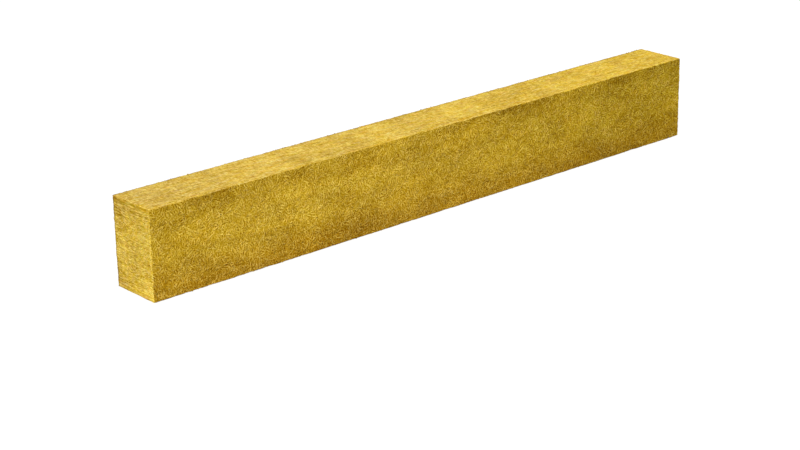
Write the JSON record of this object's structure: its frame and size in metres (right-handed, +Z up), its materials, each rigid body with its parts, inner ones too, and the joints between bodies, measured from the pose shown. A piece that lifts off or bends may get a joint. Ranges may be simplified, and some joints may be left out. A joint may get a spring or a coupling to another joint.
{
  "type": "stone wool insulation strip",
  "caption": "Straight rectangular strip of stone wool sawn from a slab, which fills gaps and edges with thermal, fire and sound insulation.",
  "frame": {"origin": "middle of the slab face that the strip rests on", "axes": "+X along the strip, +Y from one sawn side to the other, +Z up through the slab's thickness"},
  "size_m": [1, 0.08, 0.125],
  "materials": {
    "stone_wool": "matt golden mineral fibre"
  },
  "bodies": {
    "root": {"wool_strip": "stone_wool"}
  },
  "joints": []
}
